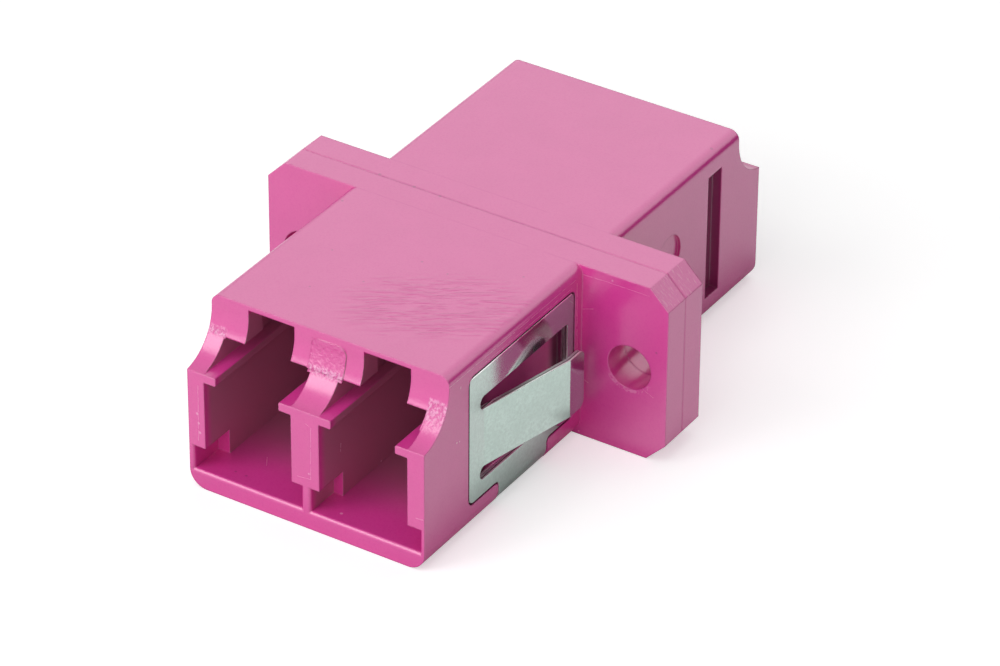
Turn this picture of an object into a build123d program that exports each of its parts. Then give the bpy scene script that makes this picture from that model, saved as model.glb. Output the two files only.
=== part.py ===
from build123d import *
import os
from math import sqrt

# Duplex small-form fibre optic adapter, millimetres.
# X runs across the two ports, +Y from the front mouth to the rear mouth, +Z up.
# The origin is the middle of the weld plane between the two moulded halves.

# Body, seen from a mouth
body_width = 12.8
body_height = 9.3
top_corner = 0.5
bottom_corner = 0.9
front_length = 14.65
rear_length = 14.65

# Flange, half of its thickness on each moulding
flange_width = 22.0
flange_height = 9.3
flange_half = 1.5
flange_chamfer = 1.0
weld_edge = 0.025
screw_inset = 2.0
screw_hole = 2.3

# Ports: guide slot for the plug, ledges that guide its latch arm, latch chamber above
port_pitch = 6.25
guide_gap = 4.75
ledge_gap = 3.45
floor_thickness = 0.95
ledge_bottom = 1.22
ledge_top = 1.65
ledge_edge = 0.06
chamber_ceiling = 4.1
wall_behind_ports = 1.9

# Relief under the guide pads, just inside the mouth
relief_depth = 1.9
relief_ceiling = -2.4
web_thickness = 0.5
skirt_wall = 0.25
mouth_edge = 0.18

# Scooped mouth and the lip that the latches catch behind
scoop_radius = 2.38
scoop_lead = 0.35
lip_thickness = 1.12
lip_bottom = 2.77
keyway_width = 2.5
keyway_top = 4.4

# Raised mould mark on the middle of the front lip
mark_width = 1.9
mark_top = 4.25
mark_corner = 0.45
mark_height = 0.05
mark_root = 0.2

# Split sleeves and the bosses that hold them captive
ferrule_level = -1.24
sleeve_bore = 1.246
sleeve_wall = 0.187
sleeve_length = 6.8
sleeve_slit = 0.3
sleeve_edge = 0.06
sleeve_clearance = 0.06
sleeve_end_play = 0.05
boss_wall = 0.58
boss_lip = 0.3
boss_lip_clearance = 0.1
boss_lead_in = 0.15
boss_edge = 0.15

# Panel clip, one folded sheet over both sides and the underside of the front half
clip_sheet = 0.25
clip_sunk = 0.02
clip_margin = 0.1
clip_to_flange = 0.67
clip_length = 8.76
clip_top = 3.58
clip_bottom = -3.2
clip_corner = 0.35
strap_to_flange = 2.9
strap_width = 4.05
strap_corner = 0.3

# Window and sprung tongue in each side of the clip
tongue_middle = -0.15
tongue_height = 3.1
tongue_slot = 0.7
tongue_root_to_flange = 8.2
tongue_bend_to_flange = 2.75
tongue_tip_to_flange = 1.6
tongue_rise = 1.17
tongue_corner = 0.4
tongue_fold = 0.15
tongue_anchor = 0.5
window_to_flange = 1.18
window_corner = 0.15
pocket_depth = 0.25
pocket_inset = 0.1

# Groove and round dimple in each side of the rear half
groove_to_flange = 8.3
groove_width = 1.25
groove_bottom = -3.3
groove_top = 3.5
groove_depth = 0.5
dimple_radius = 1.05
dimple_to_flange = 4.8
dimple_level = 1.0
dimple_depth = 0.15

# Sizes that follow from the ones above
half_width = body_width / 2
floor_level = floor_thickness - body_height / 2
screw_pitch = flange_width - 2 * screw_inset
port_middle = port_pitch / 2
scoop_level = ledge_top + sqrt(scoop_radius**2 - scoop_lead**2)
lip_inset = scoop_radius - scoop_lead + lip_thickness
sleeve_outer = sleeve_bore + 2 * sleeve_wall
seat_bore = sleeve_outer + 2 * sleeve_clearance
seat_depth = sleeve_length / 2 + sleeve_end_play
boss_outer = seat_bore + 2 * boss_wall
boss_reach = seat_depth + boss_lip
boss_lip_hole = sleeve_bore + boss_lip_clearance
recess_depth = clip_sunk + clip_sheet
clip_rear = -(flange_half + clip_to_flange)
strap_rear = -(flange_half + strap_to_flange)
window_rear = -(flange_half + window_to_flange)
tongue_root = -(flange_half + tongue_root_to_flange)
tongue_bend = -(flange_half + tongue_bend_to_flange)
tongue_tip = -(flange_half + tongue_tip_to_flange)
tongue_low = tongue_middle - tongue_height / 2
tongue_face = half_width - clip_sunk
window_length = window_rear - tongue_root
window_height = tongue_height + 2 * tongue_slot
groove_middle = flange_half + groove_to_flange + groove_width / 2
groove_height = groove_top - groove_bottom
groove_level = (groove_top + groove_bottom) / 2
dimple_middle = flange_half + dimple_to_flange

os.makedirs("parts", exist_ok=True)


def body_outline(inset):
    """Section of the body, small corners above and larger ones below, brought in by an inset."""
    with BuildSketch() as outline:
        Rectangle(body_width, body_height)
        fillet(outline.vertices().group_by(Axis.Y)[-1], top_corner)
        fillet(outline.vertices().group_by(Axis.Y)[0], bottom_corner)
        if inset > 0:
            offset(amount=-inset)
    return outline.sketch


def scoop_space(length, radius):
    """Open space of the scooped mouth: a cylinder across the body, upright above its axis."""
    with BuildPart() as space:
        with BuildSketch(Plane.YZ):
            with Locations((-length - scoop_lead, scoop_level)):
                Circle(radius)
                Rectangle(radius, body_height, align=(Align.MIN, Align.MIN))
        extrude(amount=body_width, both=True)
    return space.part


def ferrule_boss():
    """Round boss from the wall behind a port, turned about the ferrule's line, rim eased."""
    with BuildPart() as boss:
        with BuildSketch(Plane.XY):
            with BuildLine():
                Polyline(
                    (0, -wall_behind_ports / 2),
                    (boss_outer / 2, -wall_behind_ports / 2),
                    (boss_outer / 2, boss_edge - boss_reach),
                    (boss_outer / 2 - boss_edge, -boss_reach),
                    (0, -boss_reach),
                    close=True,
                )
            make_face()
        revolve(axis=Axis.Y)
    return boss.part


def sleeve_seat():
    """Space inside a boss: the sleeve's seat and the cone that leads a ferrule through the end lip."""
    with BuildPart() as seat:
        with BuildSketch(Plane.XY):
            with BuildLine():
                Polyline(
                    (0, 0),
                    (seat_bore / 2, 0),
                    (seat_bore / 2, -seat_depth),
                    (boss_lip_hole / 2, -seat_depth),
                    (boss_lip_hole / 2 + boss_lead_in, -boss_reach),
                    (0, -boss_reach),
                    close=True,
                )
            make_face()
        revolve(axis=Axis.Y)
    return seat.part


def moulded_half(length):
    """One moulding, weld face on the plane Y = 0 and mouth towards -Y."""
    section = body_outline(0)
    scoop = scoop_space(length, scoop_radius)
    lip_back = length - lip_inset
    middles = [(-port_middle, 0), (port_middle, 0)]
    bores = [(-port_middle, 0, ferrule_level), (port_middle, 0, ferrule_level)]
    boss = ferrule_boss()
    seat = sleeve_seat()
    upward = (Align.CENTER, Align.MIN)

    with BuildPart() as half:
        # Flange and body
        with BuildSketch(Plane.XZ) as flange:
            Rectangle(flange_width, flange_height)
            chamfer(flange.vertices(), flange_chamfer)
        extrude(amount=flange_half)
        chamfer(half.edges().group_by(Axis.Y)[-1], weld_edge)
        with BuildSketch(Plane.XZ):
            add(section)
        extrude(amount=length)
        add(scoop, mode=Mode.SUBTRACT)

        # Guide slot, gap between the ledges and the way in under the lip
        with BuildSketch(Plane.XZ.offset(wall_behind_ports)) as slots:
            with Locations(*middles):
                with Locations((0, floor_level)):
                    Rectangle(guide_gap, ledge_bottom - floor_level, align=upward)
                with Locations((0, ledge_bottom)):
                    Rectangle(ledge_gap, ledge_top - ledge_bottom, align=upward)
                with Locations((0, ledge_top)):
                    Rectangle(guide_gap, lip_bottom - ledge_top, align=upward)
            ledge_corners = slots.vertices().group_by(Axis.Y)[1:3]
            fillet(ledge_corners[0] + ledge_corners[1], ledge_edge)
        extrude(amount=length - wall_behind_ports, mode=Mode.SUBTRACT)

        # Latch chamber behind the lip
        with BuildSketch(Plane.XZ.offset(wall_behind_ports)):
            with Locations(*middles):
                with Locations((0, ledge_top)):
                    Rectangle(guide_gap, chamber_ceiling - ledge_top, align=upward)
        extrude(amount=lip_back - wall_behind_ports, mode=Mode.SUBTRACT)

        # Keyway for each latch through the lip
        with BuildSketch(Plane.XZ.offset(lip_back)):
            with Locations(*middles):
                with Locations((0, ledge_top)):
                    Rectangle(keyway_width, keyway_top - ledge_top, align=upward)
        extrude(amount=length - lip_back, mode=Mode.SUBTRACT)

        # Relief from the middle web out to the skirts
        with BuildSketch(Plane.XZ.offset(length - relief_depth)):
            with Locations((0, floor_level)):
                Rectangle(2 * (half_width - skirt_wall), relief_ceiling - floor_level, align=upward)
                Rectangle(web_thickness, relief_ceiling - floor_level, align=upward, mode=Mode.SUBTRACT)
        extrude(amount=relief_depth, mode=Mode.SUBTRACT)

        # Rounded edges of the skirts, the web and the sill at the mouth
        uprights = half.edges().filter_by(Axis.Z).group_by(Axis.Y)[0]
        skirts = uprights.group_by(Axis.X)
        webs = uprights.filter_by_position(Axis.X, -web_thickness, web_thickness)
        sill = half.edges().filter_by(Axis.X).group_by(Axis.Y)[0].group_by(Axis.Z)[1]
        fillet(skirts[1] + skirts[-2] + webs + sill, mouth_edge)

        # Ferrule bosses, then the sleeves' seats and the lead-in cones in their ends
        with Locations(*bores):
            add(boss)
            add(seat, mode=Mode.SUBTRACT)

        # Screw holes
        with BuildSketch(Plane.XZ):
            with GridLocations(screw_pitch, screw_pitch, 2, 1):
                Circle(screw_hole / 2)
        extrude(amount=flange_half, mode=Mode.SUBTRACT)
    return half.part


def clip_outline(margin):
    """Side view of the clip, plate and strap in one, grown by a margin."""
    with BuildSketch() as outline:
        with Locations((clip_rear, clip_top)):
            Rectangle(clip_length, clip_top - clip_bottom, align=(Align.MAX, Align.MAX))
        with Locations((strap_rear, clip_bottom)):
            Rectangle(strap_width, body_height, align=(Align.MAX, Align.MAX))
        fillet(outline.vertices().group_by(Axis.Y)[1].sort_by(Axis.X)[1:3], strap_corner)
        plate_corners = outline.vertices().group_by(Axis.X)
        fillet(plate_corners[0] + plate_corners[-1], clip_corner)
        if margin > 0:
            offset(amount=margin)
    return outline.sketch


def clip_band(outer_inset, thickness, margin):
    """Sheet that follows the body section, cut to the clip's side view grown by a margin."""
    outer = body_outline(outer_inset)
    inner = body_outline(outer_inset + thickness)
    side_view = clip_outline(margin)
    with BuildPart() as band:
        with BuildSketch(Plane.XZ):
            add(outer)
            add(inner, mode=Mode.SUBTRACT)
        extrude(amount=front_length)
        with BuildSketch(Plane.YZ):
            add(side_view)
        extrude(amount=body_width, both=True, mode=Mode.INTERSECT)
    return band.part


def pocket_blocks():
    """Blocks that sink a pocket into both sides behind the clip's windows."""
    depth = recess_depth + pocket_depth
    with BuildPart() as blocks:
        with BuildSketch(Plane.YZ.offset(half_width)):
            with Locations((window_rear - pocket_inset, tongue_middle)):
                Rectangle(
                    window_length - 2 * pocket_inset,
                    window_height - 2 * pocket_inset,
                    align=(Align.MAX, Align.CENTER),
                )
        extrude(amount=-depth)
        mirror(about=Plane.YZ)
    return blocks.part


def lip_mark():
    """Raised mark on the middle of the lip, following the scoop."""
    outside = scoop_space(front_length, scoop_radius - mark_height)
    inside = scoop_space(front_length, scoop_radius + mark_root)
    with BuildPart() as mark:
        with BuildSketch(Plane.XZ) as face:
            with Locations((0, lip_bottom)):
                Rectangle(mark_width, mark_top - lip_bottom, align=(Align.CENTER, Align.MIN))
            fillet(face.vertices().group_by(Axis.Y)[-1], mark_corner)
        extrude(amount=front_length)
        add(inside, mode=Mode.INTERSECT)
        add(outside, mode=Mode.SUBTRACT)
    return mark.part


def clip_tongues():
    """Both sprung tongues: folded outwards at the root and back along Y before the tip."""
    with BuildPart() as tongues:
        with BuildSketch(Plane.XY.offset(tongue_low)):
            with BuildLine():
                FilletPolyline(
                    (tongue_face, tongue_root - tongue_anchor),
                    (tongue_face, tongue_root),
                    (tongue_face + tongue_rise, tongue_bend),
                    (tongue_face + tongue_rise, tongue_tip),
                    radius=tongue_fold + clip_sheet,
                )
                offset(amount=clip_sheet, side=Side.LEFT)
            make_face()
        extrude(amount=tongue_height)
        fillet(tongues.edges().filter_by(Axis.X).group_by(Axis.Y)[-1], tongue_corner)
        mirror(about=Plane.YZ)
    return tongues.part


def split_sleeve(middle):
    """Slit ferrule sleeve lying along Y, its length shared by both mouldings."""
    with BuildPart() as sleeve:
        with BuildSketch(Plane.XZ):
            with Locations((middle, ferrule_level)):
                Circle(sleeve_outer / 2)
                Circle(sleeve_bore / 2, mode=Mode.SUBTRACT)
                Rectangle(
                    sleeve_slit,
                    sleeve_outer,
                    align=(Align.CENTER, Align.MIN),
                    mode=Mode.SUBTRACT,
                )
        extrude(amount=sleeve_length / 2, both=True)
        rims = sleeve.edges().filter_by(GeomType.CIRCLE)
        chamfer(rims, sleeve_edge)
    return sleeve.part


front_half = moulded_half(front_length)
clip_recess = clip_band(0, recess_depth, clip_margin)
window_pockets = pocket_blocks()
mould_mark = lip_mark()
with BuildPart() as front_housing:
    add(front_half)
    add(mould_mark)
    add(clip_recess, mode=Mode.SUBTRACT)
    add(window_pockets, mode=Mode.SUBTRACT)
front_housing.part.label = "front_housing"
export_step(front_housing.part, "parts/front_housing.step")

rear_half = moulded_half(rear_length)
with BuildPart() as rear_housing:
    mirror(rear_half, about=Plane.XZ)
    with Locations((half_width, groove_middle, groove_level), (-half_width, groove_middle, groove_level)):
        Box(2 * groove_depth, groove_width, groove_height, mode=Mode.SUBTRACT)
    with Locations((half_width, dimple_middle, dimple_level), (-half_width, dimple_middle, dimple_level)):
        Cylinder(dimple_radius, 2 * dimple_depth, rotation=(0, 90, 0), mode=Mode.SUBTRACT)
rear_housing.part.label = "rear_housing"
export_step(rear_housing.part, "parts/rear_housing.step")

left_sleeve = split_sleeve(-port_middle)
with BuildPart() as split_sleeve_left:
    add(left_sleeve)
split_sleeve_left.part.label = "split_sleeve_left"
export_step(split_sleeve_left.part, "parts/split_sleeve_left.step")

right_sleeve = split_sleeve(port_middle)
with BuildPart() as split_sleeve_right:
    add(right_sleeve)
split_sleeve_right.part.label = "split_sleeve_right"
export_step(split_sleeve_right.part, "parts/split_sleeve_right.step")

sheet = clip_band(clip_sunk, clip_sheet, 0)
tongues = clip_tongues()
with BuildPart() as panel_clip:
    add(sheet)
    with BuildSketch(Plane.YZ) as window:
        with Locations((window_rear, tongue_middle)):
            Rectangle(window_length, window_height, align=(Align.MAX, Align.CENTER))
        fillet(window.vertices().group_by(Axis.X)[-1], window_corner)
        with Locations((tongue_root, tongue_middle)):
            with GridLocations(tongue_slot, tongue_height + tongue_slot, 1, 2):
                Circle(tongue_slot / 2)
    extrude(amount=body_width, both=True, mode=Mode.SUBTRACT)
    add(tongues)
panel_clip.part.label = "panel_clip"
export_step(panel_clip.part, "parts/panel_clip.step")
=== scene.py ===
import math

import bpy
import numpy as np
from bpy.props import FloatProperty, FloatVectorProperty, PointerProperty
from bpy.types import Operator, Panel, PropertyGroup
from mathutils import Matrix, Vector


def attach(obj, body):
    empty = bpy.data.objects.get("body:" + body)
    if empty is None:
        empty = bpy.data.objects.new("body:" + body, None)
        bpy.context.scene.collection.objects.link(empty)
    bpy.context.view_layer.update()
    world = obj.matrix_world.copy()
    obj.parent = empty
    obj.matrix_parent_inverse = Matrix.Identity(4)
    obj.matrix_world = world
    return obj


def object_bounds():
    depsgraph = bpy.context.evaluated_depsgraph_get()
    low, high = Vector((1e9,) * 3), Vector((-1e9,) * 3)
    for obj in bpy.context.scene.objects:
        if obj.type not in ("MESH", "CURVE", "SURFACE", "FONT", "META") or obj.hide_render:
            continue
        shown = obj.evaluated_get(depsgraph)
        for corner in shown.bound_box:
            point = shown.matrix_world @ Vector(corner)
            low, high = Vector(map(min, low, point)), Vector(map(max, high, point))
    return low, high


bl_info = {
    "name": "Duplex Fibre Adapter",
    "version": (1, 0, 0),
    "blender": (4, 5, 0),
    "location": "3D View > Sidebar > Adapter",
    "description": "Dresses a duplex fibre optic adapter: pink mouldings, steel clip and ferrule sleeves",
    "category": "Object",
}

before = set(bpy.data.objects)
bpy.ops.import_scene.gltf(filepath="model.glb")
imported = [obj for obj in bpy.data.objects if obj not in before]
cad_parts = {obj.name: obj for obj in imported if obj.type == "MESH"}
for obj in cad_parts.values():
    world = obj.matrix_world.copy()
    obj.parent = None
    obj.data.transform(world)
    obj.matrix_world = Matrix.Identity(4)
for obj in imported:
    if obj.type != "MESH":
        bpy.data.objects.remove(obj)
CAD_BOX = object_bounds()
MM = 0.001

# Sizes in mm that the finishes follow, the same as the solids have
MOUTH, FLANGE_FACE, FLANGE_END, TOP, SIDE = -14.65, -1.5, 11.0, 4.65, 6.4
PORT_FLOOR, LEDGE_TOP, WEB_SIDE = -3.7, 1.65, 0.75
HOLE_MIDDLE = 9.0
GROOVE_FRONT, GROOVE_REAR = 9.8, 11.05
CLIP_FRONT, CLIP_REAR, CLIP_TOP, CLIP_FACE = -10.93, -2.17, 3.58, 6.38
TONGUE_ROOT, TONGUE_BEND, TONGUE_RISE = -9.7, -4.25, 1.17
SCOOP_RADIUS, SCOOP_LEAD = 2.38, 0.35
SCOOP_AXIS = MOUTH - SCOOP_LEAD
SCOOP_LEVEL = LEDGE_TOP + math.sqrt(SCOOP_RADIUS**2 - SCOOP_LEAD**2)

# Scratches and witness lines on the mouldings: both ends and half the width, mm
PALE_LINES = (
    (6.43, FLANGE_FACE, 4.15, 7.45, FLANGE_FACE, 4.2, 0.025),
    (7.45, FLANGE_FACE, 4.2, 9.95, FLANGE_FACE, 4.21, 0.018),
    (10.05, FLANGE_FACE, 4.6, 10.96, FLANGE_FACE, 3.7, 0.02),
    (6.46, FLANGE_FACE, 2.3, 7.0, FLANGE_FACE, 2.48, 0.02),
    (6.37, FLANGE_FACE, -1.44, 6.85, FLANGE_FACE, -1.64, 0.02),
    (9.7, FLANGE_FACE, -0.9, 10.3, FLANGE_FACE, -1.2, 0.01),
    (0.34, MOUTH, 0.9, 0.29, MOUTH, -1.9, 0.018),
    (0.29, MOUTH, -1.9, -0.45, MOUTH, -1.97, 0.014),
    (0.04, MOUTH, 1.05, 0.34, MOUTH, 0.9, 0.012),
    (-5.82, MOUTH, 0.95, -5.87, MOUTH, -2.05, 0.018),
    (5.97, MOUTH, -1.85, 6.32, MOUTH, -1.81, 0.03),
    (6.03, MOUTH, -2.66, 6.19, MOUTH, -2.64, 0.025),
    (WEB_SIDE, -12.89, -0.75, WEB_SIDE, -12.9, -1.2, 0.02),
    (-3.87, -12.1, PORT_FLOOR, -3.53, -12.68, PORT_FLOOR, 0.015),
    (SIDE, -1.95, 3.9, SIDE, -1.86, 0.0, 0.022),
    (SIDE, -13.0, 4.14, SIDE, -2.1, 4.14, 0.018),
    (SIDE, -10.2, 3.84, SIDE, -2.4, 3.86, 0.01),
)

# How far the scratches wander to the side, mm, and how often in a metre
WOBBLE, WOBBLE_RATE = 0.07, 2600.0

# Pale specks and dark ones on the mouldings: middle and radius, mm
PALE_SPOTS = (
    (1.48, -13.97, PORT_FLOOR, 0.07),
    (WEB_SIDE, -9.13, 1.0, 0.06),
    (WEB_SIDE, -9.63, -3.6, 0.05),
    (SIDE, -11.7, 3.63, 0.06),
    (SIDE, -12.0, 0.85, 0.05),
    (SIDE, -11.78, 0.8, 0.04),
    (8.0, FLANGE_FACE, 4.36, 0.05),
    (-5.9, MOUTH, -0.6, 0.07),
    (-5.83, MOUTH, -1.1, 0.06),
    (-5.78, MOUTH, -1.6, 0.07),
    (0.2, MOUTH, -1.62, 0.05),
)
DARK_SPOTS = (
    (-5.72, 0.07, TOP, 0.07),
    (-3.76, 0.01, TOP, 0.08),
    (-2.3, -0.03, TOP, 0.07),
    (-5.87, -2.85, TOP, 0.07),
    (-3.86, -6.65, TOP, 0.05),
    (0.13, -5.25, TOP, 0.06),
    (-2.97, -9.77, TOP, 0.05),
    (1.67, -5.49, TOP, 0.05),
    (4.69, -3.81, TOP, 0.05),
    (-1.17, -8.1, TOP, 0.05),
    (6.07, 10.58, TOP, 0.08),
    (10.41, FLANGE_FACE, 1.3, 0.06),
    (-4.42, -13.84, PORT_FLOOR, 0.06),
    (-3.83, -13.85, PORT_FLOOR, 0.06),
)

# Flow marks on the front moulding's top: slant in degrees, middle and half length and width in mm
FLOW_SLANT, FLOW_MIDDLE, FLOW_REACH = 33, (2.9, -8.0), (5.8, 3.3)

# Torn skin under the lip, where the mouth's tool inserts meet: x and z reach, height in mm and a seed
FLASHES = (
    ("scoop_flash_left", (-6.38, -5.42), (2.7, 3.2), 0.024, 3),
    ("scoop_flash_middle", (-0.93, 0.93), (2.62, 3.1), 0.034, 8),
    ("scoop_flash_right", (5.42, 6.38), (2.1, 3.3), 0.024, 5),
)
SKIN_ROWS, SKIN_COLUMNS, SKIN_WALL = 72, 64, 0.06

# How much of a skin's height is relief, dome and what is taken off, and how square the dome is
SKIN_RELIEF, SKIN_DOME, SKIN_SINK, SKIN_DOME_POWER = 0.75, 1.5, 0.85, 2.5

# Refractive indices
PLASTIC_INDEX, CERAMIC_INDEX = 1.58, 2.1

# Lamps: place, width and height in metres, power in watts
LAMPS = (
    ("key_lamp", (-0.22, -0.32, 0.25), 0.24, 0.34, 0.80),
    ("front_high_lamp", (-0.04, -0.20, 0.38), 0.22, 0.16, 0.22),
    ("front_right_lamp", (0.08, -0.40, 0.17), 0.38, 0.28, 0.72),
    ("top_lamp", (0.0, 0.0, 0.45), 0.30, 0.30, 0.30),
    ("back_lamp", (0.0, 0.40, 0.28), 0.80, 0.30, 0.58),
)

# Half width and half length of the body and of the flange, and how far the painted shadow beside each
# reaches in the floor's reflected glow, mm
FOOTPRINT = ((SIDE, -MOUTH, 3.0), (FLANGE_END, -FLANGE_FACE, 1.2))

# Table top: half its side in metres, its gap under the object and the reach over which it turns white, mm
FLOOR_HALF, FLOOR_GAP, FLOOR_WHITENS = 0.6, 0.02, (40, 160)
FLOOR_POINTS = 9

# Dark card: distance, height and gap over the table top in mm, and the angles from +Y that it spans, degrees
CARD_REACH, CARD_HEIGHT, CARD_GAP, CARD_SPAN = 50, 18.8, 0.1, (12, 80)
CARD_COLUMNS, CARD_ROWS = 33, 3

# The photograph's camera, worked out from the flange's screw pitch, the ports' pitch and the straight edges
VIEW_AZIMUTH, VIEW_ELEVATION, VIEW_ROLL = 32.330, 33.069, 0.418
VIEW_DISTANCE = 247.327 * MM
VIEW_RIGHT, VIEW_UP = -0.859 * MM, 1.787 * MM
VIEW_LENS = 190.59


# Shader helpers


def start_finish(name):
    """A new material with an empty tree; returns the material, its tree and its Principled shader."""
    material = bpy.data.materials.new(name)
    material.use_nodes = True
    tree = material.node_tree
    tree.nodes.clear()
    shader = tree.nodes.new("ShaderNodeBsdfPrincipled")
    output = tree.nodes.new("ShaderNodeOutputMaterial")
    tree.links.new(shader.outputs["BSDF"], output.inputs["Surface"])
    return material, tree, shader


def feed(tree, socket, value):
    """Sets a socket to a value, or links it to another node's output."""
    if isinstance(value, bpy.types.NodeSocket):
        tree.links.new(value, socket)
    elif hasattr(value, "__len__") and len(value) == 3 and socket.type == "RGBA":
        socket.default_value = (*value, 1.0)
    else:
        socket.default_value = value


def node(tree, kind, inputs=(), **settings):
    """Adds a node, sets its options and feeds its inputs, given as (name or number, value) pairs."""
    made = tree.nodes.new(kind)
    for option, value in settings.items():
        setattr(made, option, value)
    for key, value in inputs:
        feed(tree, made.inputs[key], value)
    return made


def maths(tree, operation, *values, clamp=False):
    """Output of a Math node."""
    made = node(tree, "ShaderNodeMath", enumerate(values), operation=operation, use_clamp=clamp)
    return made.outputs[0]


def vector_maths(tree, operation, first, second, result="Vector"):
    """Output of a Vector Math node."""
    made = node(tree, "ShaderNodeVectorMath", [(0, first), (1, second)], operation=operation)
    return made.outputs[result]


def vector_length(tree, vector):
    """How long a vector is."""
    return node(tree, "ShaderNodeVectorMath", [(0, vector)], operation="LENGTH").outputs["Value"]


def smooth_step(tree, value, low, high):
    """0 below low, 1 above high, eased between them; low may be above high to turn it round."""
    made = node(
        tree,
        "ShaderNodeMapRange",
        [("Value", value), ("From Min", low), ("From Max", high)],
        interpolation_type="SMOOTHSTEP",
    )
    return made.outputs["Result"]


def within(tree, value, low, high, soft):
    """1 between low and high with a soft edge, 0 outside."""
    return maths(
        tree,
        "MULTIPLY",
        smooth_step(tree, value, low - soft, low + soft),
        smooth_step(tree, value, high + soft, high - soft),
    )


def ramp(tree, value, start, full):
    """0 on one side of start and 1 on the other side of full, both in mm, eased between them."""
    return smooth_step(tree, value, start * MM, full * MM)


def between(tree, value, low, high, soft):
    """1 between two places with a soft edge, all in mm, 0 outside."""
    return within(tree, value, low * MM, high * MM, soft * MM)


def product(tree, *values):
    """All the values multiplied together."""
    result = values[0]
    for value in values[1:]:
        result = maths(tree, "MULTIPLY", result, value)
    return result


def largest(tree, *values):
    """The largest of the values."""
    result = values[0]
    for value in values[1:]:
        result = maths(tree, "MAXIMUM", result, value)
    return result


def scaled(tree, value, share, base=0.0):
    """A share of the value, added to base where there is one."""
    part = maths(tree, "MULTIPLY", value, share)
    return maths(tree, "ADD", part, base) if base else part


def darker(colour, share):
    """The colour times the share."""
    return tuple(c * share for c in colour)


def blend_colour(tree, share, under, over):
    """Colour that goes from under to over with the share."""
    made = node(tree, "ShaderNodeMix", data_type="RGBA")
    feed(tree, made.inputs[0], share)
    feed(tree, made.inputs[6], under)
    feed(tree, made.inputs[7], over)
    return made.outputs[2]


def tint(tree, under, over, mask, share):
    """Colour that goes from under to over, as far as the share, where the mask is 1."""
    return blend_colour(tree, scaled(tree, mask, share), under, over)


def noise(tree, place, size_mm, detail=3.0, rough=0.5, stretch=(1, 1, 1), shift=(0, 0, 0), warp=0.0):
    """Noise whose blobs are about size_mm across, stretched along the axes."""
    scale = tuple(1 / (s * size_mm * MM) for s in stretch)
    mapped = node(tree, "ShaderNodeMapping", [("Vector", place), ("Location", shift), ("Scale", scale)])
    values = [("Scale", 1.0), ("Detail", detail), ("Roughness", rough), ("Distortion", warp)]
    return node(tree, "ShaderNodeTexNoise", [("Vector", mapped.outputs[0]), *values]).outputs["Fac"]


def bump(tree, height, depth_mm, strength=1.0, normal=None):
    """Normal bent by a height of 0 to 1 that stands depth_mm high."""
    values = [("Strength", strength), ("Distance", depth_mm * MM), ("Height", height)]
    made = node(tree, "ShaderNodeBump", values)
    if normal is not None:
        feed(tree, made.inputs["Normal"], normal)
    return made.outputs["Normal"]


def soft_edges(tree, radius):
    """Normal that is rounded over sharp edges."""
    return node(tree, "ShaderNodeBevel", [("Radius", radius)], samples=5).outputs["Normal"]


def axes(tree, vector):
    """X, Y and Z of a vector."""
    split = node(tree, "ShaderNodeSeparateXYZ", [("Vector", vector)])
    return split.outputs["X"], split.outputs["Y"], split.outputs["Z"]


def own_place(tree):
    """The object's own coordinates, in metres."""
    return node(tree, "ShaderNodeTexCoord").outputs["Object"]


class Point:
    """What a finish reads at a point: its place, its distance beside the middle, and which way it faces."""

    def __init__(self, tree):
        self.place = own_place(tree)
        self.x, self.y, self.z = axes(tree, self.place)
        self.beside = maths(tree, "ABSOLUTE", self.x)
        normal = node(tree, "ShaderNodeNewGeometry").outputs["Normal"]
        self.facing_x, self.facing_y, self.facing_z = axes(tree, normal)


def line_marks(tree, place, lines):
    """1 on straight scratches, 0 off them; each is two ends and a half width in mm.

    The distance to a line is taken from the nearest point between its ends."""
    rates = [("Scale", WOBBLE_RATE), ("Detail", 2.0)]
    wobble = node(tree, "ShaderNodeTexNoise", [("Vector", place), *rates]).outputs["Color"]
    wobble = vector_maths(tree, "SUBTRACT", wobble, (0.5, 0.5, 0.5))
    place = vector_maths(tree, "ADD", place, vector_maths(tree, "MULTIPLY", wobble, (WOBBLE * MM,) * 3))
    marks = []
    for ax, ay, az, bx, by, bz, half in lines:
        start = Vector((ax, ay, az)) * MM
        run = Vector((bx, by, bz)) * MM - start
        offset = vector_maths(tree, "SUBTRACT", place, tuple(start))
        share = vector_maths(tree, "DOT_PRODUCT", offset, tuple(run / run.length_squared), "Value")
        share = maths(tree, "MAXIMUM", maths(tree, "MINIMUM", share, 1.0), 0.0)
        nearest = node(tree, "ShaderNodeVectorMath", [(0, tuple(run)), ("Scale", share)], operation="SCALE")
        away = vector_maths(tree, "DISTANCE", offset, nearest.outputs[0], "Value")
        marks.append(ramp(tree, away, start=half * 1.5, full=half * 0.5))
    return largest(tree, *marks)


def spot_marks(tree, place, spots):
    """1 on small round spots, 0 off them; each is a middle and a radius in mm."""
    marks = []
    for x, y, z, radius in spots:
        away = vector_maths(tree, "DISTANCE", place, (x * MM, y * MM, z * MM), "Value")
        marks.append(ramp(tree, away, start=radius * 1.4, full=radius * 0.6))
    return largest(tree, *marks)


# Mesh helpers


def sheet_mesh(name, points):
    """A mesh object of quads between neighbours in a grid of points, shape (rows, columns, 3), in metres."""
    rows, columns = points.shape[:2]
    grid = np.arange(rows * columns).reshape(rows, columns)
    quads = np.stack([grid[:-1, :-1], grid[1:, :-1], grid[1:, 1:], grid[:-1, 1:]], -1).reshape(-1, 4)
    mesh = bpy.data.meshes.new(name)
    mesh.from_pydata(points.reshape(-1, 3).tolist(), [], quads.tolist())
    mesh.polygons.foreach_set("use_smooth", np.ones(len(quads), bool))
    mesh.update()
    piece = bpy.data.objects.new(name, mesh)
    bpy.context.scene.collection.objects.link(piece)
    return piece


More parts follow.
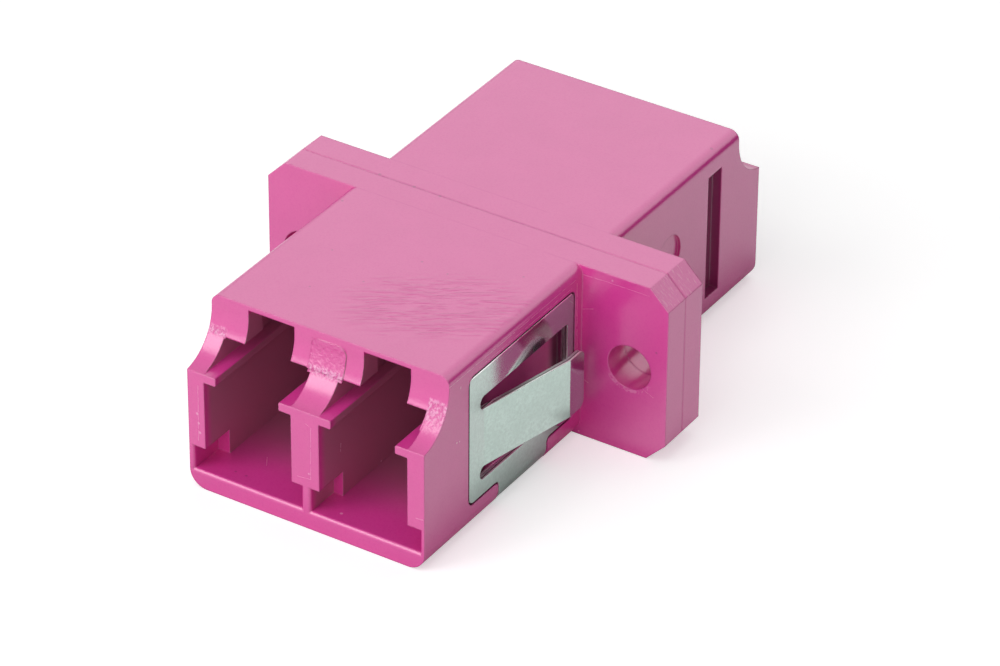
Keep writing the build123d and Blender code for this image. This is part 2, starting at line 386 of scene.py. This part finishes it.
def ragged(u, v, seed, waves=30, reach=(3.0, 14.0), lean=0.7, fade=0.6):
    """Rough relief from -1 to 1: a sum of sine waves of random count and phase that run mostly along u.

    A wave's height falls with its count to the power of fade."""
    random = np.random.default_rng(seed)
    count = random.uniform(*reach, waves)
    turn = random.uniform(-lean, lean, waves)
    phase = random.uniform(0, math.tau, waves)
    angle = count * (np.cos(turn) * u[..., None] + np.sin(turn) * v[..., None]) * math.tau + phase
    relief = (np.sin(angle) / count**fade).sum(-1)
    return relief / np.abs(relief).max()


def scoop_skin(name, x_range, z_range, height, seed):
    """A rough skin on the scooped mouth.

    It lies on the scoop's cylinder, which runs across the body, and stands off it by a ragged relief. A dome
    is added to the relief and a constant taken off, so towards its border the skin sinks under the surface,
    and its outline is ragged too. A point at level z is on the cylinder at the angle whose sine is
    (scoop level - z) / radius."""
    u, v = np.meshgrid(np.linspace(0, 1, SKIN_ROWS), np.linspace(0, 1, SKIN_COLUMNS), indexing="ij")
    x = x_range[0] + (x_range[1] - x_range[0]) * u
    z = z_range[0] + (z_range[1] - z_range[0]) * v
    dome = 1 - np.maximum(np.abs(2 * u - 1), np.abs(2 * v - 1)) ** SKIN_DOME_POWER
    lift = height * (ragged(u, v, seed) * SKIN_RELIEF + SKIN_DOME * dome - SKIN_SINK)
    reach = SCOOP_RADIUS - lift
    fall = np.arcsin((SCOOP_LEVEL - z) / SCOOP_RADIUS)
    y = SCOOP_AXIS + reach * np.cos(fall)
    skin = sheet_mesh(name, np.stack([x, y, SCOOP_LEVEL - reach * np.sin(fall)], -1) * MM)
    wall = skin.modifiers.new("wall", "SOLIDIFY")
    wall.thickness = SKIN_WALL * MM
    wall.offset = -1.0
    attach(skin, "root")
    return skin


def cad_finish(part, material):
    """Gives a carried-over CAD node its finish."""
    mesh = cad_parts[part].data
    mesh.materials.clear()
    mesh.materials.append(material)


# Settings


class MouldingSettings(PropertyGroup):
    """Colours and surface of the two welded mouldings."""

    pink: FloatVectorProperty(
        name="Pink", description="Body colour of the plastic", subtype="COLOR", size=3, min=0, max=1,
        default=(0.70, 0.045, 0.31),
    )
    pale_pink: FloatVectorProperty(
        name="Pale pink", description="Stressed and scuffed plastic", subtype="COLOR", size=3, min=0, max=1,
        default=(0.92, 0.42, 0.68),
    )
    deep_pink: FloatVectorProperty(
        name="Deep pink", description="Seams and flow lines", subtype="COLOR", size=3, min=0, max=1,
        default=(0.62, 0.012, 0.26),
    )
    # Painted shade and haze: a darker, greyer pink laid on the ports' walls, ceilings and deep floors, where
    # they lie dim
    port_shade: FloatVectorProperty(
        name="Port pink", description="Duller plastic in the ports", subtype="COLOR", size=3, min=0, max=1,
        default=(0.46, 0.125, 0.23),
    )
    dirt: FloatVectorProperty(
        name="Specks", description="Dark specks in the plastic", subtype="COLOR", size=3, min=0, max=1,
        default=(0.22, 0.03, 0.13),
    )
    # Painted shade, laid into the rear grooves, on the recess walls beside the clip and behind its slots
    shade: FloatVectorProperty(
        name="Shaded pink", description="Plastic deep in the grooves", subtype="COLOR", size=3, min=0, max=1,
        default=(0.07, 0.008, 0.025),
    )
    roughness: FloatProperty(
        name="Roughness", description="Gloss of the moulded surface", subtype="FACTOR", min=0, max=1,
        default=0.25,
    )
    edge: FloatProperty(
        name="Edge rounding", description="Radius that the moulded edges seem to have", subtype="DISTANCE",
        unit="LENGTH", min=0, max=0.001, default=0.00009,
    )
    seam: FloatProperty(
        name="Weld line", description="Half width of the line where the mouldings meet", subtype="DISTANCE",
        unit="LENGTH", min=0, max=0.001, default=0.00004,
    )


class ClipSettings(PropertyGroup):
    """Finish of the folded steel panel clip."""

    steel: FloatVectorProperty(
        name="Steel", description="Colour of the strip", subtype="COLOR", size=3, min=0, max=1,
        default=(0.455, 0.568, 0.518),
    )
    # Also the painted highlight on the cut edges' outer layer and along the plate's top
    sheared: FloatVectorProperty(
        name="Sheared edge", description="Colour of the cut edges", subtype="COLOR", size=3, min=0, max=1,
        default=(0.95, 0.96, 0.95),
    )
    edge: FloatProperty(
        name="Edge rounding", description="Radius that the cut edges seem to have", subtype="DISTANCE",
        unit="LENGTH", min=0, max=0.001, default=0.00004,
    )
    roughness: FloatProperty(
        name="Roughness", description="Gloss of the rolled strip", subtype="FACTOR", min=0, max=1,
        default=0.1,
    )


class SleeveSettings(PropertyGroup):
    """Finish of the split ferrule sleeves."""

    ivory: FloatVectorProperty(
        name="Ivory", description="Colour of the ceramic", subtype="COLOR", size=3, min=0, max=1,
        default=(0.86, 0.84, 0.78),
    )


class StageSettings(PropertyGroup):
    """Floor, light and camera."""

    floor: FloatVectorProperty(
        name="Floor", description="Colour of the table top", subtype="COLOR", size=3, min=0, max=1,
        default=(0.76, 0.76, 0.76),
    )
    glow: FloatProperty(
        name="Floor glow", description="Light that reflections see in the floor", min=0, max=2,
        default=0.52,
    )
    white: FloatProperty(
        name="Floor white", description="Light that lifts the floor to white in the picture", min=0, max=2,
        default=0.48,
    )
    fill: FloatProperty(
        name="Fill", description="Strength of the even light from all round", min=0, max=3, default=0.15,
    )
    power: FloatProperty(
        name="Lamps", description="Share of the lamps' powers", subtype="FACTOR", min=0, max=4, default=1.0,
    )


class AdapterSettings(PropertyGroup):
    """All the settings of the adapter."""

    moulding: PointerProperty(type=MouldingSettings)
    clip: PointerProperty(type=ClipSettings)
    sleeve: PointerProperty(type=SleeveSettings)
    stage: PointerProperty(type=StageSettings)


# Finishes


def flow_marks(tree, at):
    """Streaks left where the plastic flowed over the front moulding's top.

    They are noise stretched along a slant, inside an ellipse with a wandering edge."""
    slant = math.radians(FLOW_SLANT)
    middle = Matrix.Rotation(-slant, 3, "Z") @ Vector((*FLOW_MIDDLE, 0)) * MM
    turn = [("Location", tuple(-middle)), ("Rotation", (0, 0, -slant))]
    turned = node(tree, "ShaderNodeMapping", [("Vector", at.place), *turn]).outputs[0]
    flatten = (1 / (FLOW_REACH[0] * MM), 1 / (FLOW_REACH[1] * MM), 0)
    squeezed = node(tree, "ShaderNodeMapping", [("Vector", turned), ("Scale", flatten)]).outputs[0]
    wander = scaled(tree, noise(tree, at.place, size_mm=1.6, detail=2), share=0.5)
    patch = smooth_step(tree, maths(tree, "ADD", vector_length(tree, squeezed), wander), 1.25, 0.75)
    ripple = noise(tree, turned, size_mm=0.2, detail=2, rough=0.45, stretch=(6, 1, 1), warp=0.3)
    top = ramp(tree, at.z, start=TOP - 0.1, full=TOP - 0.02)
    return product(tree, top, patch, smooth_step(tree, ripple, 0.42, 0.62))


def port_shade_mask(tree, at):
    """1 where shade is painted in the ports: on their walls and ceilings, and only deep inside on their
    floors.
    """
    along = maths(tree, "ABSOLUTE", at.y)
    upward = smooth_step(tree, at.facing_z, 0.3, 0.8)
    walls = ramp(tree, along, start=-MOUTH - 0.05, full=-MOUTH - 0.65)
    floors = ramp(tree, along, start=-MOUTH - 1.05, full=-MOUTH - 6.15)
    depth = maths(tree, "SUBTRACT", walls, product(tree, upward, maths(tree, "SUBTRACT", walls, floors)))
    return product(
        tree,
        depth,
        smooth_step(tree, maths(tree, "ABSOLUTE", at.facing_y), 0.5, 0.2),
        ramp(tree, along, start=-FLANGE_FACE + 0.2, full=-FLANGE_FACE + 0.7),
        ramp(tree, at.beside, start=SIDE - 0.4, full=SIDE - 0.7),
        ramp(tree, maths(tree, "ABSOLUTE", at.z), start=TOP - 0.35, full=TOP - 0.55),
    )


def painted_shade_places(tree, at):
    """1 where shade is painted: in the rear half's side grooves, on the walls beside the clip, and behind
    its slots.
    """
    # Under the sides' own faces, and clear of the rounded edges at the top and the bottom
    sunk = product(
        tree,
        ramp(tree, at.beside, start=SIDE - 0.01, full=SIDE - 0.06),
        ramp(tree, at.z, start=3.8, full=3.75),
        ramp(tree, at.z, start=-3.55, full=-3.5),
    )
    groove = product(
        tree,
        sunk,
        ramp(tree, at.beside, start=SIDE - 0.58, full=SIDE - 0.52),
        between(tree, at.y, GROOVE_FRONT - 0.02, GROOVE_REAR + 0.02, soft=0.01),
    )
    clip_walls = product(
        tree,
        sunk,
        ramp(tree, at.beside, start=SIDE - 0.3, full=SIDE - 0.26),
        between(tree, at.y, CLIP_FRONT - 0.15, CLIP_REAR + 0.15, soft=0.01),
        smooth_step(tree, maths(tree, "ABSOLUTE", at.facing_x), 0.5, 0.3),
    )
    slot_ends = maths(
        tree,
        "MAXIMUM",
        ramp(tree, at.y, start=TONGUE_ROOT + 1.4, full=TONGUE_ROOT + 0.3),
        ramp(tree, at.y, start=TONGUE_BEND + 0.55, full=TONGUE_BEND + 1.25),
    )
    behind_slots = product(
        tree,
        sunk,
        ramp(tree, at.beside, start=SIDE - 0.7, full=SIDE - 0.65),
        between(tree, at.y, CLIP_FRONT, CLIP_REAR, soft=0.01),
        slot_ends,
    )
    return largest(tree, scaled(tree, groove, share=0.75), clip_walls, behind_slots)


def bevel_scuffs(tree, at):
    """Scuffs on the flange's bevelled corners."""
    rubbed = noise(tree, at.place, size_mm=0.08, detail=3, rough=0.6, stretch=(4, 1, 4), shift=(0, 0, 2))
    return product(
        tree,
        within(tree, at.facing_z, 0.55, 0.85, soft=0.05),
        ramp(tree, at.beside, start=FLANGE_END - 1.1, full=FLANGE_END - 1.0),
        smooth_step(tree, rubbed, 0.52, 0.7),
    )


def weld_marks(tree, at, seam):
    """The weld line round the flange, stronger in places and on the right, and the faint steps beside it."""
    along = maths(tree, "ABSOLUTE", at.y)
    patches = smooth_step(tree, noise(tree, at.place, size_mm=1.3, detail=3, shift=(3.1, 0, 0)), 0.3, 0.6)
    fade = ramp(tree, at.x, start=-10.5, full=-5.0)
    line = smooth_step(tree, along, seam * 3.2, seam)
    weld = product(tree, line, maths(tree, "MAXIMUM", fade, 0.3), scaled(tree, patches, share=0.5, base=0.3))
    top = ramp(tree, at.z, start=TOP - 0.1, full=TOP - 0.01)
    edges = between(tree, along, -FLANGE_FACE - 0.04, -FLANGE_FACE + 0.04, soft=0.04)
    steps = product(tree, top, edges, ramp(tree, at.beside, start=SIDE, full=SIDE - 0.6), patches)
    return weld, steps


def fine_dust(tree, at):
    """Fine dust: a small dot in the middle of few cells out of many."""
    cells = node(tree, "ShaderNodeTexVoronoi", [("Vector", at.place), ("Scale", 1100.0)], feature="F1")
    chance = node(tree, "ShaderNodeSeparateColor", [("Color", cells.outputs["Color"])])
    dots = smooth_step(tree, cells.outputs["Distance"], 0.075, 0.03)
    return product(tree, dots, smooth_step(tree, chance.outputs["Red"], 0.97, 0.975))


def scoop_marks(tree, at):
    """The raised mark's face, and the torn band under the lip: masks of both, on the scoop alone."""
    outward = smooth_step(tree, at.facing_y, -0.2, -0.4)
    scoop = product(tree, outward, ramp(tree, at.y, start=-12.3, full=-12.5))
    left = ramp(tree, at.x, start=-5.4, full=-5.45)
    middle = ramp(tree, at.beside, start=0.96, full=0.92)
    right = ramp(tree, at.x, start=5.4, full=5.45)
    mark = product(tree, scoop, middle, between(tree, at.z, 2.8, 4.2, soft=0.04))
    bands = largest(
        tree,
        product(tree, left, between(tree, at.z, 2.75, 3.1, soft=0.12)),
        product(tree, middle, between(tree, at.z, 2.6, 3.0, soft=0.12)),
        product(tree, right, ramp(tree, at.z, start=1.9, full=2.9), ramp(tree, at.z, start=3.4, full=3.2)),
    )
    return mark, product(tree, scoop, bands)


def hole_rim_arc(tree, at):
    """A pale broken arc on the flange's face, just outside the lower rim of the right screw hole."""
    from_hole = vector_maths(tree, "DISTANCE", at.place, (HOLE_MIDDLE * MM, FLANGE_FACE * MM, 0), "Value")
    return product(
        tree,
        between(tree, from_hole, 1.19, 1.36, soft=0.04),
        ramp(tree, at.z, start=-0.5, full=-0.9),
        ramp(tree, at.y, start=FLANGE_FACE + 0.04, full=FLANGE_FACE + 0.02),
        smooth_step(tree, noise(tree, at.place, size_mm=0.12, detail=2), 0.5, 0.6),
    )


def relief(tree, mask, texture):
    """Height that rises and falls with the texture where the mask is 1, and stays level round it."""
    return maths(tree, "MULTIPLY", mask, maths(tree, "SUBTRACT", texture, 0.5))


def front_marks(tree, at, settings, base, rough, normal):
    """Adds the front moulding's own marks to its colour, roughness and normal."""
    flow = flow_marks(tree, at)
    base = tint(tree, base, settings.deep_pink, flow, share=0.6)
    normal = bump(tree, flow, depth_mm=0.016, strength=0.8, normal=normal)

    # The raised mark's rough face, and plastic torn and whitened on the scoop under the lip
    mark, band = scoop_marks(tree, at)
    torn = noise(tree, at.place, size_mm=0.15, detail=4, rough=0.65, stretch=(1, 1, 1.6), warp=0.2)
    peel = noise(tree, at.place, size_mm=0.2, detail=3, rough=0.6)
    base = tint(tree, base, settings.deep_pink, mark, share=0.18)
    chips = product(tree, band, smooth_step(tree, torn, 0.44, 0.58))
    base = tint(tree, base, settings.pale_pink, chips, share=0.65)
    normal = bump(tree, relief(tree, mark, peel), depth_mm=0.08, normal=normal)
    normal = bump(tree, relief(tree, band, torn), depth_mm=0.1, normal=normal)

    # Scratches, witness lines and pale specks
    broken = smooth_step(tree, noise(tree, at.place, size_mm=0.25, detail=3), 0.3, 0.55)
    lines = line_marks(tree, at.place, PALE_LINES)
    scratched = maths(tree, "MULTIPLY", lines, scaled(tree, broken, share=0.2, base=0.05))
    pale_marks = maths(tree, "ADD", scratched, scaled(tree, hole_rim_arc(tree, at), share=0.3))
    base = blend_colour(tree, pale_marks, base, settings.pale_pink)
    base = tint(tree, base, settings.pale_pink, spot_marks(tree, at.place, PALE_SPOTS), share=0.5)
    rough = maths(tree, "ADD", rough, scaled(tree, scratched, share=0.2))
    return base, rough, normal


def moulded_plastic(name, settings, front):
    """Moulded plastic: a fine grain, marks from the tool, scuffs, dust, a deeper line at the weld, and
    painted shade in the ports, the grooves and beside the clip.
    """
    material, tree, shader = start_finish(name)
    at = Point(tree)
    grain = noise(tree, at.place, size_mm=0.11, detail=2, rough=0.6)
    cloud = noise(tree, at.place, size_mm=2.2, detail=3, rough=0.55)

    soft_pink = darker(settings.pink, 0.965)
    base = blend_colour(tree, smooth_step(tree, cloud, 0.3, 0.75), settings.pink, soft_pink)
    base = tint(tree, base, settings.deep_pink, smooth_step(tree, grain, 0.45, 0.7), share=0.25)
    # Painted shade: the ports turn darker and greyer inwards
    base = blend_colour(tree, port_shade_mask(tree, at), base, settings.port_shade)
    # Painted shade in the grooves, beside the clip and behind its slots
    base = tint(tree, base, settings.shade, painted_shade_places(tree, at), share=0.85)
    base = tint(tree, base, settings.pale_pink, bevel_scuffs(tree, at), share=0.2)
    weld, steps = weld_marks(tree, at, settings.seam)
    base = blend_colour(tree, weld, base, settings.deep_pink)
    base = tint(tree, base, settings.deep_pink, steps, share=0.5)
    base = tint(tree, base, settings.pale_pink, fine_dust(tree, at), share=0.4)

    normal = bump(tree, grain, depth_mm=0.008, strength=0.6, normal=soft_edges(tree, settings.edge))
    rough = scaled(tree, cloud, share=0.04, base=settings.roughness - 0.02)
    if front:
        base, rough, normal = front_marks(tree, at, settings, base, rough, normal)
    base = tint(tree, base, settings.dirt, spot_marks(tree, at.place, DARK_SPOTS), share=0.45)

    feed(tree, shader.inputs["Base Color"], base)
    feed(tree, shader.inputs["Roughness"], rough)
    feed(tree, shader.inputs["Normal"], normal)
    shader.inputs["IOR"].default_value = PLASTIC_INDEX
    shader.inputs["Specular IOR Level"].default_value = 1.0
    return material


def strip_depth(tree, at):
    """How deep a point lies under the strip's outer face, in metres.

    The face is the side plate's, and on a tongue it leans out in a straight line from root to bend."""
    from_root = maths(tree, "SUBTRACT", at.y, TONGUE_ROOT * MM)
    lean = maths(tree, "DIVIDE", from_root, (TONGUE_BEND - TONGUE_ROOT) * MM, clamp=True)
    raised = maths(tree, "GREATER_THAN", at.beside, (CLIP_FACE + 0.005) * MM)
    face = maths(tree, "ADD", product(tree, lean, raised, TONGUE_RISE * MM), CLIP_FACE * MM)
    return maths(tree, "SUBTRACT", face, at.beside)


def sheared_edge(tree, at, mottle, settings):
    """Colours of a cut edge, from the outer face inwards: a bright layer, a dark line and a torn layer. The
    bright layer is a burnish band, and also a painted highlight of the edge's rounding.
    """
    under = strip_depth(tree, at)
    burnished_highlight = ramp(tree, under, start=0.1, full=0.07)
    torn = ramp(tree, under, start=0.12, full=0.14)
    torn = maths(tree, "MULTIPLY", torn, scaled(tree, mottle, share=0.5, base=0.35))
    shine = maths(tree, "ADD", burnished_highlight, torn)
    return blend_colour(tree, shine, darker(settings.steel, 0.12), settings.sheared)


def rolled_steel(name, settings):
    """Bright rolled stainless strip: mottled faces, a faint grain along the strip, sheared edges, a painted
    highlight along the plate's top and painted shade on the edges that lie against the plastic.
    """
    material, tree, shader = start_finish(name)
    at = Point(tree)
    grain = noise(tree, at.place, size_mm=0.03, detail=3, rough=0.6, stretch=(1, 14, 1))
    mottle = noise(tree, at.place, size_mm=0.16, detail=4, rough=0.7)
    cloud = noise(tree, at.place, size_mm=1.3, detail=4, rough=0.6)
    dull = darker(settings.steel, 0.84)
    colour = blend_colour(tree, smooth_step(tree, mottle, 0.3, 0.7), settings.steel, dull)
    colour = tint(tree, colour, dull, smooth_step(tree, cloud, 0.4, 0.7), share=0.5)
    edge = smooth_step(tree, maths(tree, "ABSOLUTE", at.facing_x), 0.5, 0.3)
    colour = blend_colour(tree, edge, colour, sheared_edge(tree, at, mottle, settings))

    # The burred top edge of the plate, painted bright as the highlight of its rounding, and painted shade on
    # the edges that lie against the plastic, where the gap is dark
    burr_highlight = ramp(tree, at.z, start=CLIP_TOP - 0.09, full=CLIP_TOP - 0.06)
    burr_highlight = maths(tree, "MULTIPLY", burr_highlight, smooth_step(tree, mottle, 0.2, 0.4))
    colour = blend_colour(tree, burr_highlight, colour, settings.sheared)
    gap_shade = largest(
        tree,
        ramp(tree, at.z, start=CLIP_TOP - 0.06, full=CLIP_TOP - 0.01),
        ramp(tree, at.y, start=CLIP_FRONT + 0.06, full=CLIP_FRONT + 0.01),
    )
    colour = blend_colour(tree, product(tree, edge, gap_shade), colour, darker(settings.steel, 0.04))

    feed(tree, shader.inputs["Base Color"], colour)
    shader.inputs["Metallic"].default_value = 1.0
    rough = scaled(tree, cloud, share=0.08, base=settings.roughness - 0.04)
    feed(tree, shader.inputs["Roughness"], maths(tree, "ADD", rough, scaled(tree, edge, share=0.25)))
    normal = bump(tree, mottle, depth_mm=0.002, strength=0.3, normal=soft_edges(tree, settings.edge))
    normal = bump(tree, grain, depth_mm=0.0015, strength=0.35, normal=normal)
    feed(tree, shader.inputs["Normal"], normal)
    return material


def ground_ceramic(name, settings):
    """Ground and polished ceramic: ivory, glossy, with faint rings from the grinding."""
    material, tree, shader = start_finish(name)
    place = own_place(tree)
    rings = noise(tree, place, size_mm=0.02, detail=2, rough=0.5, stretch=(60, 1, 60))
    cloud = noise(tree, place, size_mm=0.6, detail=2)
    colour = blend_colour(tree, cloud, settings.ivory, darker(settings.ivory, 0.93))
    feed(tree, shader.inputs["Base Color"], colour)
    feed(tree, shader.inputs["Roughness"], scaled(tree, rings, share=0.08, base=0.14))
    shader.inputs["IOR"].default_value = CERAMIC_INDEX
    feed(tree, shader.inputs["Normal"], bump(tree, rings, depth_mm=0.0008, strength=0.4))
    return material


# Stage


def open_floor(tree, place):
    """0 on the floor under and beside the object, and 1 away from both rectangles of its footprint: a
    painted shadow in the glow that reflections see.
    """
    x, y = axes(tree, place)[:2]
    beside = maths(tree, "ABSOLUTE", x)
    along = maths(tree, "ABSOLUTE", y)
    result = 1.0
    for half_width, half_length, soft in FOOTPRINT:
        outside = maths(
            tree,
            "MAXIMUM",
            maths(tree, "SUBTRACT", beside, half_width * MM),
            maths(tree, "SUBTRACT", along, half_length * MM),
        )
        result = maths(tree, "MULTIPLY", result, ramp(tree, outside, start=0.1, full=soft))
    return result


def white_table(settings):
    """Matt white table top that glows for the camera, and for reflections away from the object; near the
    object a painted shadow takes the reflected glow out.
    """
    material, tree, shader = start_finish("table_top")
    output = next(n for n in tree.nodes if n.type == "OUTPUT_MATERIAL")
    place = own_place(tree)
    shade = blend_colour(tree, noise(tree, place, size_mm=6.0), settings.floor, darker(settings.floor, 0.99))
    feed(tree, shader.inputs["Base Color"], shade)
    shader.inputs["Roughness"].default_value = 0.9
    path = node(tree, "ShaderNodeLightPath").outputs
    mirrored = maths(tree, "MAXIMUM", path["Is Glossy Ray"], path["Is Transmission Ray"])
    far = ramp(tree, vector_length(tree, place), *FLOOR_WHITENS)
    white = maths(tree, "MAXIMUM", far, settings.white)
    # The glow that reflections see carries a painted shadow near the object
    glow = maths(
        tree,
        "ADD",
        maths(tree, "MULTIPLY", path["Is Camera Ray"], white),
        product(tree, mirrored, open_floor(tree, place), settings.glow),
    )
    light = node(tree, "ShaderNodeEmission", [("Color", (1, 1, 1)), ("Strength", glow)])
    total = node(tree, "ShaderNodeAddShader", [(0, shader.outputs[0]), (1, light.outputs[0])])
    tree.links.new(total.outputs[0], output.inputs["Surface"])
    material.cycles.emission_sampling = "NONE"
    return material


def table_top(level, settings):
    """The table top, a flat square surface."""
    across = np.linspace(-FLOOR_HALF, FLOOR_HALF, FLOOR_POINTS)
    x, y = np.meshgrid(across, across, indexing="ij")
    floor = sheet_mesh("table_top", np.stack([x, y, np.full_like(x, level)], -1))
    floor.data.materials.append(white_table(settings))


def dark_card(level):
    """A low dark card at the back right, which only reflections see: it deepens the rounded top edges.

    It stands on a circle about the middle: at the angle a from +Y, x is reach sin a and y is reach cos a."""
    span = np.radians(np.linspace(*CARD_SPAN, CARD_COLUMNS))
    turn, rise = np.meshgrid(span, np.linspace(0, 1, CARD_ROWS), indexing="ij")
    x = CARD_REACH * MM * np.sin(turn)
    y = CARD_REACH * MM * np.cos(turn)
    z = level + (CARD_GAP + CARD_HEIGHT * rise) * MM
    card = sheet_mesh("dark_card", np.stack([x, y, z], -1))
    material, _, shader = start_finish("dark_card")
    shader.inputs["Base Color"].default_value = (0.01, 0.01, 0.01, 1)
    shader.inputs["Specular IOR Level"].default_value = 0.0
    card.data.materials.append(material)
    card.visible_camera = card.visible_diffuse = card.visible_transmission = card.visible_shadow = False


def white_surroundings(scene, settings):
    """Even fill light from all round, seen and mirrored as plain white."""
    world = scene.world or bpy.data.worlds.new("studio")
    scene.world = world
    world.use_nodes = True
    world.cycles.sampling_method = "NONE"
    tree = world.node_tree
    tree.nodes.clear()
    path = node(tree, "ShaderNodeLightPath").outputs
    seen = largest(tree, path["Is Camera Ray"], path["Is Glossy Ray"], path["Is Transmission Ray"])
    strength = node(tree, "ShaderNodeMix", [(0, seen), (2, settings.fill), (3, 1.0)], data_type="FLOAT")
    values = [("Color", (1, 1, 1)), ("Strength", strength.outputs[0])]
    back = node(tree, "ShaderNodeBackground", values)
    output = node(tree, "ShaderNodeOutputWorld")
    tree.links.new(back.outputs[0], output.inputs["Surface"])


def soft_lamp(name, place, width, height, power):
    """A rectangular lamp at a place, in metres, turned towards the middle of the object."""
    data = bpy.data.lights.new(name, "AREA")
    data.shape = "RECTANGLE"
    data.size = width
    data.size_y = height
    data.energy = power
    lamp = bpy.data.objects.new(name, data)
    bpy.context.scene.collection.objects.link(lamp)
    turn = (Vector() - Vector(place)).to_track_quat("-Z", "Y")
    lamp.matrix_world = Matrix.LocRotScale(Vector(place), turn, None)


def photo_camera():
    """The camera at the photograph's place and angle."""
    turn, rise, roll = (math.radians(a) for a in (VIEW_AZIMUTH, VIEW_ELEVATION, VIEW_ROLL))
    back = Vector((math.sin(turn) * math.cos(rise), -math.cos(turn) * math.cos(rise), math.sin(rise)))
    level = Vector((math.cos(turn), math.sin(turn), 0))
    right = math.cos(roll) * level + math.sin(roll) * back.cross(level)
    up = back.cross(right)
    place = back * VIEW_DISTANCE - right * VIEW_RIGHT - up * VIEW_UP
    data = bpy.data.cameras.new("photo_camera")
    data.sensor_width = 36
    data.lens = VIEW_LENS
    data.clip_start = 0.01
    data.clip_end = 10
    camera = bpy.data.objects.new("photo_camera", data)
    bpy.context.scene.collection.objects.link(camera)
    camera.matrix_world = Matrix.Translation(place) @ Matrix((right, up, back)).transposed().to_4x4()
    bpy.context.scene.camera = camera


# Operators


class ADAPTER_OT_mouldings(Operator):
    """Gives both mouldings their satin pink plastic"""

    bl_idname = "adapter.mouldings"
    bl_label = "Mouldings"
    bl_options = {"REGISTER", "UNDO"}

    def execute(self, context):
        settings = context.scene.fibre_adapter.moulding
        front = moulded_plastic("pink_plastic_front", settings, True)
        cad_finish("front_housing", front)
        for name, x_range, z_range, height, seed in FLASHES:
            skin = scoop_skin(name, x_range, z_range, height, seed)
            skin.data.materials.append(front)
        cad_finish("rear_housing", moulded_plastic("pink_plastic_rear", settings, False))
        return {"FINISHED"}


class ADAPTER_OT_panel_clip(Operator):
    """Gives the folded clip its rolled steel"""

    bl_idname = "adapter.panel_clip"
    bl_label = "Panel clip"
    bl_options = {"REGISTER", "UNDO"}

    def execute(self, context):
        cad_finish("panel_clip", rolled_steel("rolled_steel", context.scene.fibre_adapter.clip))
        return {"FINISHED"}


class ADAPTER_OT_sleeves(Operator):
    """Gives the split sleeves their ceramic"""

    bl_idname = "adapter.sleeves"
    bl_label = "Split sleeves"
    bl_options = {"REGISTER", "UNDO"}

    def execute(self, context):
        ceramic = ground_ceramic("ground_ceramic", context.scene.fibre_adapter.sleeve)
        for part in ("split_sleeve_left", "split_sleeve_right"):
            cad_finish(part, ceramic)
        return {"FINISHED"}


class ADAPTER_OT_stage(Operator):
    """Builds the floor, the lamps, the white surroundings and the camera"""

    bl_idname = "adapter.stage"
    bl_label = "Stage"
    bl_options = {"REGISTER", "UNDO"}

    def execute(self, context):
        settings = context.scene.fibre_adapter.stage
        level = CAD_BOX[0][2] - FLOOR_GAP * MM
        table_top(level, settings)
        dark_card(level)
        white_surroundings(context.scene, settings)
        for name, place, width, height, power in LAMPS:
            soft_lamp(name, place, width, height, power * settings.power)
        photo_camera()
        return {"FINISHED"}


class ADAPTER_PT_sidebar(Panel):
    """Lists the adapter's settings and steps"""

    bl_label = "Duplex Fibre Adapter"
    bl_idname = "ADAPTER_PT_sidebar"
    bl_space_type = "VIEW_3D"
    bl_region_type = "UI"
    bl_category = "Adapter"

    def draw(self, context):
        settings = context.scene.fibre_adapter
        groups = (
            (settings.moulding, "adapter.mouldings"),
            (settings.clip, "adapter.panel_clip"),
            (settings.sleeve, "adapter.sleeves"),
            (settings.stage, "adapter.stage"),
        )
        for group, step in groups:
            box = self.layout.box()
            for key in group.__annotations__:
                box.prop(group, key)
            box.operator(step)


CLASSES = (
    MouldingSettings,
    ClipSettings,
    SleeveSettings,
    StageSettings,
    AdapterSettings,
    ADAPTER_OT_mouldings,
    ADAPTER_OT_panel_clip,
    ADAPTER_OT_sleeves,
    ADAPTER_OT_stage,
    ADAPTER_PT_sidebar,
)


def register():
    for cls in CLASSES:
        bpy.utils.register_class(cls)
    bpy.types.Scene.fibre_adapter = PointerProperty(type=AdapterSettings)


def unregister():
    del bpy.types.Scene.fibre_adapter
    for cls in reversed(CLASSES):
        bpy.utils.unregister_class(cls)


def main():
    register()
    bpy.context.scene.view_settings.view_transform = "Standard"
    bpy.ops.adapter.stage()
    bpy.ops.adapter.mouldings()
    bpy.ops.adapter.panel_clip()
    bpy.ops.adapter.sleeves()


if __name__ == "__main__":
    main()
